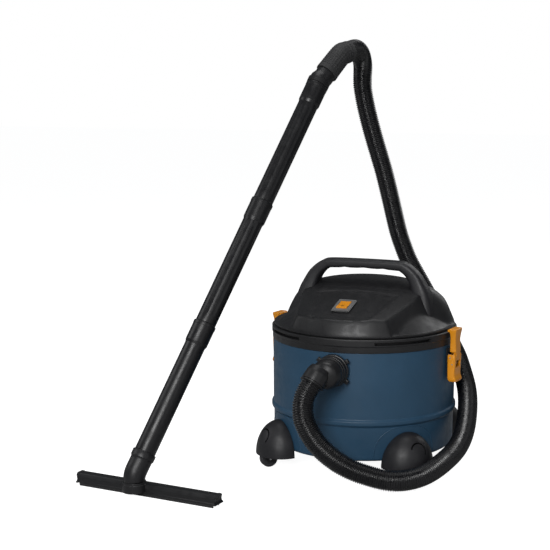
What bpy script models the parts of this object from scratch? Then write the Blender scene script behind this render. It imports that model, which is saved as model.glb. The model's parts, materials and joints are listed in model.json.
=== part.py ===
"""A wet and dry shop vacuum with its hose, three-piece wand and floor nozzle, as separate sub-parts.

The tub's front faces -Y and the floor is z = 0. Sizes are in metres. Everything is placed about the
tub's upright centre line, which stands at TUB_AXIS.
"""

import math

import bmesh
import bpy
from mathutils import Matrix, Vector

# ---------------------------------------------------------------- driving dimensions
GAP = 0.0003
MM = 0.001
TUB_AXIS = Vector((0.1084, 0.1008, 0.0))

TUB_R = 0.170
TUB_BASE_Z = 0.034
TUB_TOP_Z = 0.2295
TUB_WALL = 0.003
BEAD_Z = 0.104
BEAD_PROUD = 0.0035

INLET_Z = 0.199
INLET_PAD_Y = -0.1722
HOSE_OD = 0.037

HEAD_BOTTOM_Z = TUB_TOP_Z + GAP
RIM_R = 0.1723
RIM_TOP_Z = 0.254
COVER_R = 0.168
COVER_Z = RIM_TOP_Z + GAP
DOME_H = 0.086
COVER_WALL = 0.003
PLATE_Z = 0.236
FAN_HOLE_R = 0.022
GLAND_WAY = Vector((-0.2756, 0.9613, 0.0))

LATCH_TURN = math.radians(-8.0)
LATCH_PIN = (0.180, 0.208)
CLAW_PIN = (0.1842, 0.196)

CASTER_R = 0.187
CASTER_TRAIL = 0.008
WHEEL_R = 0.016
FOOT_R = 0.172
FOOT_BOTTOM_Z = 0.024

WAND_FOOT = Vector((-0.287, -0.368, 0.036))
WAND_TOP = Vector((-0.101, 0.015, 0.686))
WAND_R = 0.0182
SOCKET_R = 0.0203
TUBE_WALL = 0.0018
ELBOW_LIP = 0.042

NOZZLE_MIDDLE = Vector((-0.267, -0.359, 0.0))
NOZZLE_TURN = math.radians(-6.5)
NOZZLE_LENGTH = 0.283
NOZZLE_DEPTH = 0.026
NOZZLE_TOP_Z = 0.023

GRIP_BEND = Vector((-0.090, 0.033, 0.708))

# The hose's centre line, from the inlet elbow round the right side and up to the grip.
HOSE_ROUTE = (
    (-0.0165, -0.2375, 0.1865),
    (-0.0245, -0.2505, 0.1640),
    (-0.0230, -0.2550, 0.1270),
    (0.0000, -0.2460, 0.0820),
    (0.0380, -0.2300, 0.0470),
    (0.0800, -0.2200, 0.0300),
    (0.1190, -0.2110, 0.0225),
    (0.1510, -0.1900, 0.0230),
    (0.1750, -0.1610, 0.0300),
    (0.1930, -0.1210, 0.0420),
    (0.2020, -0.0770, 0.0530),
    (0.2040, -0.0370, 0.0690),
    (0.2000, 0.0020, 0.0880),
    (0.1920, 0.0410, 0.1100),
    (0.1795, 0.0800, 0.1290),
    (0.1635, 0.1090, 0.1530),
    (0.1460, 0.1370, 0.1760),
    (0.1260, 0.1550, 0.2010),
    (0.1010, 0.1740, 0.2360),
    (0.0760, 0.1870, 0.2730),
    (0.0570, 0.1950, 0.3010),
    (0.0380, 0.1990, 0.3300),
    (0.0250, 0.1990, 0.3530),
    (0.0140, 0.1990, 0.3790),
    (0.0040, 0.1970, 0.4090),
    (-0.0070, 0.1920, 0.4570),
    (-0.0231, 0.1860, 0.5234),
    (-0.0432, 0.1815, 0.5892),
    (-0.0587, 0.1796, 0.6449),
    (-0.0660, 0.1752, 0.6899),
    (-0.0620, 0.1640, 0.7250),
    (-0.0600, 0.1430, 0.7470),
    (-0.0610, 0.1150, 0.7550),
    (-0.0664, 0.0870, 0.7493),
)

BLACK = (0.030, 0.030, 0.033)
DARK_GREY = (0.050, 0.050, 0.056)
BLUE = (0.020, 0.048, 0.085)
YELLOW = (0.700, 0.260, 0.010)
GREY = (0.180, 0.180, 0.180)
FOAM = (0.060, 0.060, 0.065)
STEEL = (0.500, 0.500, 0.510)
COPPER = (0.450, 0.200, 0.100)
ALUMINIUM = (0.600, 0.610, 0.620)
WHITE = (0.700, 0.700, 0.680)


# ---------------------------------------------------------------- helpers
def clear_scene():
    for obj in list(bpy.data.objects):
        bpy.data.objects.remove(obj, do_unlink=True)


def plastic(name, colour, roughness=0.5, metallic=0.0):
    material = bpy.data.materials.get(name) or bpy.data.materials.new(name)
    material.use_nodes = True
    shader = material.node_tree.nodes["Principled BSDF"]
    shader.inputs["Base Color"].default_value = (*colour, 1.0)
    shader.inputs["Roughness"].default_value = roughness
    shader.inputs["Metallic"].default_value = metallic
    return material


def empty(name, location, parent=None):
    obj = bpy.data.objects.new(name, None)
    bpy.context.collection.objects.link(obj)
    obj.location = location
    obj.parent = parent
    return obj


def piece(name, bm, material, parent, location=(0, 0, 0), turn=None, smooth=True):
    """Makes a named object of the bmesh, placed under its parent."""
    bmesh.ops.recalc_face_normals(bm, faces=bm.faces)
    mesh = bpy.data.meshes.new(name)
    bm.to_mesh(mesh)
    bm.free()
    if smooth:
        mesh.shade_smooth()
        mesh.set_sharp_from_angle(angle=math.radians(35))
    obj = bpy.data.objects.new(name, mesh)
    bpy.context.collection.objects.link(obj)
    obj.parent = parent
    obj.location = location
    if turn is not None:
        obj.rotation_mode = "QUATERNION"
        obj.rotation_quaternion = turn
    if material is not None:
        mesh.materials.append(material)
    return obj


def cutter(name, bm, parent, location=(0, 0, 0), turn=None):
    obj = piece(name, bm, None, parent, location, turn, smooth=False)
    obj.hide_render = True
    obj.display_type = "WIRE"
    return obj


def boolean(obj, tool, operation="DIFFERENCE"):
    modifier = obj.modifiers.new(operation.lower(), "BOOLEAN")
    modifier.operation = operation
    modifier.object = tool
    modifier.solver = "EXACT"
    return modifier


def turned(profile, segments=32, start=0.0):
    """Turns a closed outline of (radius, z) points about Z. Points at radius 0 become single vertices."""
    bm = bmesh.new()
    rings = []
    for radius, z in profile:
        if radius == 0:
            rings.append([bm.verts.new((0, 0, z))])
            continue
        angles = [start + 2 * math.pi * i / segments for i in range(segments)]
        rings.append([bm.verts.new((radius * math.sin(a), -radius * math.cos(a), z)) for a in angles])
    for lower, upper in zip(rings, rings[1:] + rings[:1]):
        for i in range(segments):
            j = (i + 1) % segments
            ends = [lower[i % len(lower)], lower[j % len(lower)], upper[j % len(upper)], upper[i % len(upper)]]
            corners = list(dict.fromkeys(ends))
            if len(corners) > 2:
                bm.faces.new(corners)
    return bm


def arc_block(inner, outer, low, high, first, last, steps=6):
    """A block between two radii and two heights, along an arc about Z. Angles are degrees from the front."""
    bm = bmesh.new()
    sections = []
    for i in range(steps + 1):
        a = math.radians(first + (last - first) * i / steps)
        corners = ((inner, low), (outer, low), (outer, high), (inner, high))
        sections.append([bm.verts.new((r * math.sin(a), -r * math.cos(a), z)) for r, z in corners])
    join_loops(bm, sections)
    return bm


def join_loops(bm, loops, closed=False, capped=True):
    pairs = list(zip(loops, loops[1:]))
    if closed:
        pairs.append((loops[-1], loops[0]))
    count = len(loops[0])
    for one, other in pairs:
        for i in range(count):
            j = (i + 1) % count
            bm.faces.new((one[i], one[j], other[j], other[i]))
    if capped and not closed:
        bm.faces.new(loops[0])
        bm.faces.new(loops[-1])


def lofted(sections):
    bm = bmesh.new()
    join_loops(bm, [[bm.verts.new(point) for point in section] for section in sections])
    return bm


def block(size, centre=(0, 0, 0)):
    bm = bmesh.new()
    bmesh.ops.create_cube(bm, size=1.0)
    bmesh.ops.scale(bm, vec=size, verts=bm.verts)
    bmesh.ops.translate(bm, vec=centre, verts=bm.verts)
    return bm


def extruded(outline, low, high, axis="x"):
    """A flat outline pushed from low to high along x, y or z. The outline gives the other two, in order."""
    def place(u, v, w):
        return {"x": (w, u, v), "y": (u, w, v), "z": (u, v, w)}[axis]
    return lofted([[place(u, v, w) for u, v in outline] for w in (low, high)])


def rod(radius, length, segments=12):
    half = length / 2
    return turned([(0, -half), (radius, -half), (radius, half), (0, half)], segments)


def facing(direction):
    return Vector((0, 0, 1)).rotation_difference(Vector(direction))


def frames_along(points):
    """A plane's two axes at each point of a path, carried along it without twisting."""
    tangents = []
    for i, _ in enumerate(points):
        ahead = points[min(i + 1, len(points) - 1)]
        behind = points[max(i - 1, 0)]
        tangents.append((ahead - behind).normalized())
    side = tangents[0].orthogonal().normalized()
    frames = []
    for tangent in tangents:
        side = (side - tangent * side.dot(tangent)).normalized()
        frames.append((side, tangent.cross(side)))
    return frames


def pipe(points, outer, inner=None, segments=16):
    """A pipe along a path. outer holds a radius for each point; inner does too, or the pipe is solid."""
    bm = bmesh.new()
    frames = frames_along(points)

    def ring(index, radius):
        side, up = frames[index]
        turns = [2 * math.pi * k / segments for k in range(segments)]
        return [bm.verts.new(points[index] + radius * (side * math.cos(t) + up * math.sin(t))) for t in turns]

    loops = [ring(i, radius) for i, radius in enumerate(outer)]
    if inner:
        loops += [ring(i, inner[i]) for i in reversed(range(len(points)))]
    join_loops(bm, loops, closed=bool(inner))
    return bm


def smooth_path(points, steps):
    """A Catmull-Rom curve through the points, with steps between each pair."""
    held = [2 * points[0] - points[1], *points, 2 * points[-1] - points[-2]]
    path = []
    for a, b, c, d in zip(held, held[1:], held[2:], held[3:]):
        for k in range(steps):
            t = k / steps
            path.append(0.5 * (2 * b + (c - a) * t + (2 * a - 5 * b + 4 * c - d) * t * t
                               + (3 * b - a - 3 * c + d) * t ** 3))
    return path + [points[-1]]


# ---------------------------------------------------------------- tub
def make_tub(body, material):
    corner = 0.016
    arc = [math.radians(a) for a in (0, 30, 60, 90)]
    wall = TUB_R - 0.001
    outer_corner = [(wall - corner + corner * math.cos(a), TUB_BASE_Z + corner - corner * math.sin(a)) for a in arc]
    inner_r = wall - TUB_WALL
    inner_base = TUB_BASE_Z + TUB_WALL
    bead = [(TUB_R, BEAD_Z + 7 * MM), (TUB_R + BEAD_PROUD, BEAD_Z + 3 * MM),
            (TUB_R + BEAD_PROUD, BEAD_Z - 3 * MM), (wall, BEAD_Z - 7 * MM)]
    outside = [(TUB_R, TUB_TOP_Z), *bead, *outer_corner, (0, TUB_BASE_Z)]
    inside = [(0, inner_base), (inner_r - corner, inner_base), (inner_r - 4 * MM, inner_base + 4 * MM),
              (inner_r, inner_base + corner), (TUB_R - TUB_WALL, TUB_TOP_Z - 10 * MM),
              (TUB_R - 6 * MM, TUB_TOP_Z - 5 * MM), (TUB_R - 6 * MM, TUB_TOP_Z)]
    tub = piece("tub", turned(outside + inside, 40), material, body)
    forward = facing((0, -1, 0))
    pad = rod(0.0290, 0.0065, 24)
    pad_y = INLET_PAD_Y + 0.00325
    boolean(tub, cutter("cut_inlet_pad", pad, body, (0, pad_y, INLET_Z), forward), "UNION")
    hole = rod(0.0233, 0.040, 24)
    boolean(tub, cutter("cut_inlet_hole", hole, body, (0, -0.168, INLET_Z), forward))
    return tub


def make_gasket(head, material):
    low, high = TUB_TOP_Z + GAP, PLATE_Z - GAP
    profile = [(0.1640, low), (0.1668, low), (0.1668, high), (0.1640, high)]
    return piece("tub_gasket", turned(profile, 40), material, head)


# ---------------------------------------------------------------- inlet, hose and wand
def make_inlet(body, material):
    """The bayonet port: a flange with four lugs on the tub's pad, and a spigot through the wall."""
    bore = 0.0188
    profile = [(bore, -0.014), (0.0228, -0.014), (0.0228, GAP), (0.0290, GAP), (0.0290, 0.007), (0.0275, 0.011),
               (bore, 0.011)]
    forward = facing((0, -1, 0))
    port = piece("inlet_port", turned(profile, 24), material, body, (0, INLET_PAD_Y, INLET_Z), forward)
    for k, angle in enumerate((35, 145, 215, 325)):
        turn = math.radians(angle)
        lug = block((0.010, 0.009, 0.0055), (0.0300, 0, 0.0036))
        bmesh.ops.rotate(lug, verts=lug.verts, matrix=Matrix.Rotation(turn, 3, "Z"))
        boolean(port, cutter(f"join_lug_{k}", lug, body, (0, INLET_PAD_Y, INLET_Z), forward), "UNION")
    return port


def make_elbow(body, material, cuff_material):
    """A drum that plugs on the port, and an outlet that leaves it down towards the hose."""
    hose = hose_points()
    end = hose[0]
    leaving = (hose[1] - end).normalized()
    turn = facing(leaving)
    forward = facing((0, -1, 0))
    start = (0, INLET_PAD_Y - 0.0113, INLET_Z)
    drum = [(0, 0), (0.0280, 0), (0.0280, 0.008), (0.0268, 0.010), (0.0268, 0.026), (0.0225, 0.038), (0.0120, 0.044),
            (0, 0.045)]
    elbow = piece("hose_elbow", turned(drum, 24), material, body, start, forward)
    reach = 0.030
    outlet = turned([(0, 0), (0.0190, 0), (0.0215, 0.006), (0.0215, reach - 0.0023), (0, reach - 0.0023)], 24)
    boolean(elbow, cutter("join_outlet", outlet, body, end - leaving * reach, turn), "UNION")
    boolean(elbow, cutter("cut_elbow_bore", rod(0.0188, 0.0560, 24), body, start, forward))
    boolean(elbow, cutter("cut_outlet_bore", rod(0.0178, 0.0500, 24), body, end, turn))
    ring = turned([(0.0165, -0.0019), (0.0222, -0.0019), (0.0222, -GAP), (0.0165, -GAP)], 24)
    piece("elbow_ring", ring, cuff_material, body, end, turn)


def hose_points():
    return smooth_path([Vector(p) for p in HOSE_ROUTE], 2)


def make_hose(body, material):
    curve = bpy.data.curves.new("suction_hose", "CURVE")
    curve.dimensions = "3D"
    curve.bevel_depth = HOSE_OD / 2
    curve.bevel_resolution = 2
    curve.use_fill_caps = True
    points = hose_points()
    spline = curve.splines.new("POLY")
    spline.points.add(len(points) - 1)
    for target, point in zip(spline.points, points):
        target.co = (*point, 1)
    curve.materials.append(material)
    obj = bpy.data.objects.new("suction_hose", curve)
    bpy.context.collection.objects.link(obj)
    obj.parent = body
    return obj


def wand_direction():
    return (WAND_TOP - WAND_FOOT).normalized()


def make_wand(body, material):
    """Three push-fit tubes. Each has a wider socket at its top end, which takes the tube above."""
    up = wand_direction()
    turn = facing(up)
    pitch = ((WAND_TOP - WAND_FOOT).length - ELBOW_LIP) / 3
    for k, name in enumerate(("wand_lower", "wand_middle", "wand_upper")):
        foot = WAND_FOOT + up * (ELBOW_LIP + GAP + pitch * k)
        length = pitch - 2 * GAP
        bore = WAND_R - TUBE_WALL
        profile = [(bore, 0), (WAND_R, 0), (WAND_R, length - 0.042), (SOCKET_R, length - 0.038),
                   (SOCKET_R, length), (bore, length)]
        piece(name, turned(profile, 16), material, body, foot, turn)


def make_wand_elbow(body, material):
    """From an upright spigot in the nozzle's collar to the slant of the wand."""
    up = wand_direction()
    lip = WAND_FOOT + up * ELBOW_LIP
    x, y = WAND_FOOT.xy
    path = smooth_path([Vector((x, y, 0.012)), Vector((x, y, 0.0266)), WAND_FOOT + up * 0.006, lip - up * 0.014], 2)
    path += [lip - up * 0.010, lip]
    outer = [0.0152, 0.0152, 0.0150, 0.0186, 0.0186, 0.0188, 0.0190, 0.0206, 0.0206]
    piece("wand_elbow", pipe(path, outer, [0.0132] * len(path), 16), material, body)


def make_grip(body, material, cuff_material):
    """The bent tube at the wand's top end, and the cuff that holds the hose in it."""
    up = wand_direction()
    hose = hose_points()
    arriving = (hose[-1] - hose[-2]).normalized()
    finish = hose[-1] + arriving * GAP
    start = WAND_TOP + up * GAP
    toward = (GRIP_BEND - start).normalized()
    tube = [start, start + up * 0.010, GRIP_BEND - toward * 0.010, GRIP_BEND - toward * 2 * GAP]
    piece("grip_tube", pipe(tube, [0.0208, 0.0208, 0.0186, 0.0186], [0.0160] * 4, 16), material, body)
    cuff = [GRIP_BEND, GRIP_BEND + toward * 0.008]
    cuff += smooth_path([GRIP_BEND + toward * 0.020, finish + arriving * 0.026, finish + arriving * 0.010], 2)
    cuff.append(finish)
    radii = [0.0212 - 0.00012 * k for k in range(len(cuff))]
    piece("grip_cuff", pipe(cuff, radii, [0.0160] * len(cuff), 16), cuff_material, body)


# ---------------------------------------------------------------- floor nozzle
def make_nozzle(body, material, rubber):
    """The nozzle turns about the wand elbow's upright spigot, so its origin is on that line."""
    turn = Matrix.Rotation(NOZZLE_TURN, 4, "Z").to_quaternion()
    collar = Vector((WAND_FOOT.x, WAND_FOOT.y, 0))
    pivot = empty("nozzle_pivot", collar, body)
    pivot.rotation_mode = "QUATERNION"
    pivot.rotation_quaternion = turn
    offset = turn.inverted() @ (NOZZLE_MIDDLE - collar)
    half, deep = NOZZLE_LENGTH / 2, NOZZLE_DEPTH / 2
    outline = [(-deep, 0.005), (deep, 0.005), (deep, 0.014), (deep - 4 * MM, NOZZLE_TOP_Z - 1 * MM),
               (deep - 7 * MM, NOZZLE_TOP_Z), (-deep + 7 * MM, NOZZLE_TOP_Z), (-deep + 4 * MM, NOZZLE_TOP_Z - 1 * MM),
               (-deep, 0.014)]
    outline = [(y + offset.y, z) for y, z in outline]
    bar = piece("nozzle_body", extruded(outline, offset.x - half, offset.x + half), material, pivot)
    boolean(bar, cutter("join_collar", turned([(0, 0.006), (0.021, 0.006), (0.021, 0.0258), (0, 0.0258)], 24), pivot), "UNION")
    boolean(bar, cutter("cut_collar_bore", turned([(0, 0.0115), (0.0156, 0.0115), (0.0156, 0.030), (0, 0.030)], 24), pivot))
    slot = block((NOZZLE_LENGTH - 0.020, 0.010, 0.014), (offset.x, offset.y, 0.009))
    boolean(bar, cutter("cut_suction_slot", slot, pivot))
    throat = block((0.016, 0.020, 0.010), (0, offset.y * 0.6, 0.0115))
    boolean(bar, cutter("cut_throat", throat, pivot))
    for name, y in (("squeegee_front", -0.0090), ("squeegee_rear", 0.0090)):
        groove = block((NOZZLE_LENGTH - 0.012, 0.0036, 0.009), (offset.x, offset.y + y, 0.0055))
        boolean(bar, cutter(f"cut_{name}", groove, pivot))
        strip = [(-1.5 * MM, 0.0096), (1.5 * MM, 0.0096), (1.5 * MM, 0.004), (0.9 * MM, 0.0), (-0.9 * MM, 0.0),
                 (-1.5 * MM, 0.004)]
        strip = [(u + offset.y + y, z) for u, z in strip]
        length = NOZZLE_LENGTH / 2 - 0.0065
        piece(name, extruded(strip, offset.x - length, offset.x + length), rubber, pivot)


# ---------------------------------------------------------------- feet and casters
def foot_dome(radial, across, high, rows=5, columns=20):
    """Half an ellipsoid, flat side down."""
    bm = bmesh.new()
    loops = []
    for i in range(rows):
        lift = math.radians(90) * i / rows
        ring = []
        for k in range(columns):
            a = 2 * math.pi * k / columns
            ring.append(bm.verts.new((radial * math.cos(lift) * math.cos(a), across * math.cos(lift) * math.sin(a),
                                      high * math.sin(lift))))
        loops.append(ring)
    join_loops(bm, loops, capped=False)
    bm.faces.new(loops[0])
    top = bm.verts.new((0, 0, high))
    for k in range(columns):
        bm.faces.new((loops[-1][k], loops[-1][(k + 1) % columns], top))
    return bm


def make_caster(body, side, angle, materials):
    foot_material, fork_material, wheel_material, steel = materials
    turn = Matrix.Rotation(math.radians(angle - 90), 4, "Z").to_quaternion()
    stand = empty(f"stand_{side}", (0, 0, 0), body)
    stand.rotation_mode = "QUATERNION"
    stand.rotation_quaternion = turn
    foot = piece(f"foot_{side}", foot_dome(0.044, 0.049, 0.062), foot_material, stand, (FOOT_R, 0, FOOT_BOTTOM_Z))
    clear = turned([(0, 0), (TUB_R + 0.0008, 0), (TUB_R + 0.0008, 0.0980), (0, 0.0980)], 72)
    boolean(foot, cutter(f"cut_tub_{side}", clear, stand))
    pocket = turned([(0, 0.010), (0.0255, 0.010), (0.0255, 0.0385), (0.0045, 0.0385), (0.0045, 0.062), (0, 0.062)], 24)
    boolean(foot, cutter(f"cut_pocket_{side}", pocket, stand, (CASTER_R, 0, 0)))
    swivel = empty(f"swivel_{side}", (CASTER_R, 0, 0), stand)
    cheeks = [(-0.0102, 0.0105), (-0.0078, 0.0105), (-0.0078, 0.0332), (0.0078, 0.0332), (0.0078, 0.0105),
              (0.0102, 0.0105), (0.0102, 0.0340), (0.0085, 0.0372), (-0.0085, 0.0372), (-0.0102, 0.0340)]
    fork = piece(f"caster_fork_{side}", extruded(cheeks, -0.0045, 0.0135), fork_material, swivel)
    stem = turned([(0, 0.0360), (0.0040, 0.0360), (0.0040, 0.0600), (0, 0.0600)], 12)
    boolean(fork, cutter(f"join_stem_{side}", stem, swivel), "UNION")
    across = facing((0, 1, 0))
    axle_at = (CASTER_TRAIL, 0, WHEEL_R)
    boolean(fork, cutter(f"cut_axle_{side}", rod(0.0023, 0.030, 12), swivel, axle_at, across))
    piece(f"caster_axle_{side}", rod(0.0020, 0.0200, 12), steel, swivel, axle_at, across)
    half = 0.0072
    tyre = [(0.0023, -half), (0.0145, -half), (WHEEL_R, -half + 2 * MM), (WHEEL_R, half - 2 * MM), (0.0145, half),
            (0.0023, half)]
    piece(f"caster_wheel_{side}", turned(tyre, 20), wheel_material, swivel, axle_at, across)


# ---------------------------------------------------------------- head
def smooth_min(a, b, softness):
    h = max(0.0, min(1.0, 0.5 + 0.5 * (b - a) / softness))
    return b + (a - b) * h - softness * h * (1 - h)


def cover_height(x, y):
    """The cover's outer surface: a low shoulder all round, and a raised hood with a sloping front panel."""
    r = math.hypot(x, y)
    shoulder = smooth_min(0.2535 + (COVER_R - r) * 0.70, 0.284, 0.006)
    dome = COVER_Z + DOME_H * math.sqrt(max(0.0, 1 - (r / COVER_R) ** 2.9))
    dome = smooth_min(dome, 0.265 + (0.166 - r) * 2.3, 0.006)
    panel = 0.289 + (y + 0.140) * 0.27
    edge = 0.057 + (y + 0.140) * 0.222
    crease = 0.084 + (y + 0.130) * 0.255
    chamfer = panel - (abs(x) - edge) * 0.22
    side = panel - (crease - edge) * 0.22 - (abs(x) - crease) * 2.0
    wall = 0.285 + (y + 0.157) * 1.9
    front = smooth_min(smooth_min(panel, chamfer, 0.002), smooth_min(wall, side, 0.006), 0.006)
    hood = smooth_min(dome, front, 0.006) if y < 0.04 else dome
    blend = max(0.0, min(1.0, (y + 0.02) / 0.06))
    hood = hood * (1 - blend) + dome * blend
    return max(COVER_Z + 0.0045, -smooth_min(-shoulder, -hood, 0.006))


COVER_RINGS = (0.1680, 0.1640, 0.1560, 0.1420, 0.1260, 0.1060, 0.0820, 0.0500)
COVER_SEGMENTS = 36


def cover_surface(bm, segments, inset=0.0, lift=0.0):
    """The rings of the cover's surface, inset and lifted, from the edge to the middle."""
    loops = []
    for ring in COVER_RINGS:
        radius = ring - inset
        loop = []
        for k in range(segments):
            a = 2 * math.pi * k / segments
            x, y = radius * math.sin(a), -radius * math.cos(a)
            height = cover_height(ring * math.sin(a), -ring * math.cos(a)) + lift
            loop.append(bm.verts.new((x, y, height)))
        loops.append(loop)
    middle = bm.verts.new((0, 0, cover_height(0, 0) + lift))
    join_loops(bm, loops, capped=False)
    for k in range(segments):
        bm.faces.new((loops[-1][k], loops[-1][(k + 1) % segments], middle))
    bmesh.ops.triangulate(bm, faces=bm.faces, quad_method="FIXED")
    return loops


def cover_solid(segments, wall=None, lift=0.0, low=COVER_Z):
    """The cover as a thin cap, or as a solid down to low where wall is None."""
    bm = bmesh.new()
    outer = cover_surface(bm, segments, 0.0, lift)
    turns = [2 * math.pi * k / segments for k in range(segments)]
    edge = [bm.verts.new((COVER_R * math.sin(a), -COVER_R * math.cos(a), low)) for a in turns]
    join_loops(bm, [edge, outer[0]], capped=False)
    if wall is None:
        bm.faces.new(edge)
        return bm
    inner = cover_surface(bm, segments, wall, -wall)
    radius = COVER_R - wall
    lip = [bm.verts.new((radius * math.sin(a), -radius * math.cos(a), low)) for a in turns]
    join_loops(bm, [inner[0], lip], capped=False)
    join_loops(bm, [lip, edge], capped=False)
    return bm


SWITCH_AT = Vector((-0.006, -0.101, 0.0))
PANEL_TILT = math.atan(0.27)


def switch_turn():
    return Matrix.Rotation(PANEL_TILT, 4, "X").to_quaternion()


def switch_place():
    z = cover_height(SWITCH_AT.x, SWITCH_AT.y)
    return Vector((SWITCH_AT.x, SWITCH_AT.y, z))


def gland_place(radius):
    """Where the mains cord's gland stands, at this radius from the tub's axis."""
    return GLAND_WAY * radius + Vector((0, 0, 0.2446))


def make_head_base(head, material):
    """The rim that sits on the tub, with the plate below the motor and four exhaust slots."""
    outer = [(0.1710, HEAD_BOTTOM_Z), (0.1710, 0.2410), (RIM_R, 0.2422), (RIM_R, 0.2526), (0.1705, RIM_TOP_Z),
             (0.1500, RIM_TOP_Z), (0.1500, 0.2510), (0.1680, 0.2510), (0.1680, PLATE_Z + 3 * MM),
             (FAN_HOLE_R, PLATE_Z + 3 * MM), (FAN_HOLE_R, PLATE_Z)]
    skirt = [(0.1595, PLATE_Z), (0.1595, 0.2220), (0.1625, 0.2220), (0.1625, PLATE_Z), (0.1680, PLATE_Z),
             (0.1680, HEAD_BOTTOM_Z)]
    base = piece("head_base", turned(outer + skirt, 40), material, head)
    for k, middle in enumerate((-43, 43, 137, 223)):
        slot = arc_block(0.160, 0.180, 0.2442, 0.2494, middle - 19, middle + 19)
        boolean(base, cutter(f"cut_slot_{k}", slot, head))
    boolean(base, cutter("cut_gland", rod(0.0053, 0.020, 16), head, gland_place(0.170), facing(GLAND_WAY)))
    return base


def make_head(head, materials):
    shell, handle_material, grey, yellow, steel = materials
    make_head_base(head, shell)
    cover = piece("head_cover", cover_solid(COVER_SEGMENTS, COVER_WALL), shell, head)
    place, turn = switch_place(), switch_turn()
    boolean(cover, cutter("cut_switch", block((0.0286, 0.0406, 0.030)), head, place, turn))
    screw_z = cover_height(0, 0.020)
    boolean(cover, cutter("cut_screw", rod(0.0043, 0.030, 14), head, (0, 0.020, screw_z)))
    screw = [(0, -0.012), (0.0025, -0.012), (0.0025, -0.0045), (0.0039, -0.0040), (0.0039, -0.0010), (0, -0.0010)]
    piece("cover_screw", turned(screw, 14), steel, head, (0, 0.020, screw_z))
    make_switch(head, place, turn, grey, yellow)
    make_handle(head, handle_material)
    gland = [(0.0034, -0.0030), (0.0050, -0.0030), (0.0050, GAP), (0.0090, GAP), (0.0090, 0.0020), (0.0066, 0.0035),
             (0.0055, 0.0210), (0.0034, 0.0210)]
    piece("cable_gland", turned(gland, 16), handle_material, head, gland_place(RIM_R), facing(GLAND_WAY))


def make_switch(head, place, turn, grey, yellow):
    """A rocker in a box that snaps into the cover, so its bezel stands on the sloping panel."""
    housing = piece("switch_housing", block((0.0280, 0.0400, 0.0226), (0, 0, -0.0085)), grey, head, place, turn)
    lip = [(-0.0170, 0.0016), (0.0170, 0.0016), (0.0155, 0.0040), (-0.0155, 0.0040)]
    boolean(housing, cutter("join_bezel", extruded(lip, -0.0230, 0.0230, "y"), head, place, turn), "UNION")
    boolean(housing, cutter("cut_window", block((0.0210, 0.0320, 0.0300), (0, 0, -0.0020)), head, place, turn))
    pivot = empty("rocker_pivot", place, head)
    pivot.rotation_mode = "QUATERNION"
    pivot.rotation_quaternion = turn
    half = 0.0148
    outline = [(-half, -0.0060), (half, -0.0060), (half, 0.0022), (0.0, 0.0042), (-half, 0.0064)]
    rocker = piece("power_rocker", extruded(outline, -0.0100, 0.0100), yellow, pivot, smooth=False)
    return rocker


def make_handle(head, material):
    """A loop of rounded rectangular section from shoulder to shoulder, cut to the cover's surface."""
    line = [(-0.119, -0.002, 0.262), (-0.112, 0.0, 0.304), (-0.103, 0.0, 0.330), (-0.094, 0.0, 0.3460),
            (-0.078, 0.0, 0.3600), (-0.056, 0.0, 0.3647), (0.056, 0.0, 0.3647), (0.078, 0.0, 0.3600),
            (0.094, 0.0, 0.3460), (0.103, 0.0, 0.330), (0.112, 0.0, 0.304), (0.119, -0.002, 0.262)]
    wide = [0.025, 0.022, 0.018, 0.016, 0.015, 0.015, 0.015, 0.015, 0.016, 0.018, 0.022, 0.025]
    thick = [0.0200, 0.0175, 0.0140, 0.0118, 0.0098, 0.0090, 0.0090, 0.0098, 0.0118, 0.0140, 0.0175, 0.0200]
    points = [Vector(p) for p in line]
    corners = ((1, 0.45), (0.75, 0.9), (0.3, 1), (-0.3, 1), (-0.75, 0.9), (-1, 0.45), (-1, -0.45), (-0.75, -0.9),
               (-0.3, -1), (0.3, -1), (0.75, -0.9), (1, -0.45))
    sections = []
    for i, point in enumerate(points):
        along = (points[min(i + 1, len(points) - 1)] - points[max(i - 1, 0)]).normalized()
        out = Vector((0, 1, 0)).cross(along).normalized()
        sections.append([point + Vector((0, 1, 0)) * (u * wide[i]) + out * (v * thick[i]) for u, v in corners])
    handle = piece("carry_handle", lofted(sections), material, head)
    boolean(handle, cutter("cut_cover_surface", cover_solid(COVER_SEGMENTS, None, 0.0006, 0.2300), head))
    return handle


# ---------------------------------------------------------------- motor, float and filter
def make_motor(head, materials):
    shell, steel, copper, aluminium = materials
    floor = PLATE_Z + 3 * MM + GAP
    housing = [(FAN_HOLE_R, floor), (0.0680, floor), (0.0680, 0.2620), (0.0430, 0.2640), (0.0300, 0.2640),
               (0.0300, 0.2615), (0.0655, 0.2595), (0.0655, floor + 2.5 * MM), (FAN_HOLE_R, floor + 2.5 * MM)]
    piece("fan_housing", turned(housing, 24), shell, head)
    stator = [(0.0270, 0.2643), (0.0420, 0.2643), (0.0420, 0.2980), (0.0300, 0.3040), (0.0090, 0.3040),
              (0.0090, 0.3010), (0.0043, 0.3010), (0.0043, 0.2985), (0.0270, 0.2955)]
    piece("motor_stator", turned(stator, 20), steel, head)
    impeller = [(0.0043, 0.2450), (0.0150, 0.2450), (0.0620, 0.2480), (0.0620, 0.2560), (0.0200, 0.2580),
                (0.0043, 0.2580)]
    piece("fan_impeller", turned(impeller, 24), aluminium, head)
    armature = [(0, 0.2430), (0.0040, 0.2430), (0.0040, 0.2660), (0.0160, 0.2670), (0.0250, 0.2690),
                (0.0250, 0.2900), (0.0160, 0.2920), (0.0040, 0.2930), (0.0040, 0.3030), (0, 0.3030)]
    piece("motor_armature", turned(armature, 16), copper, head)


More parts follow.
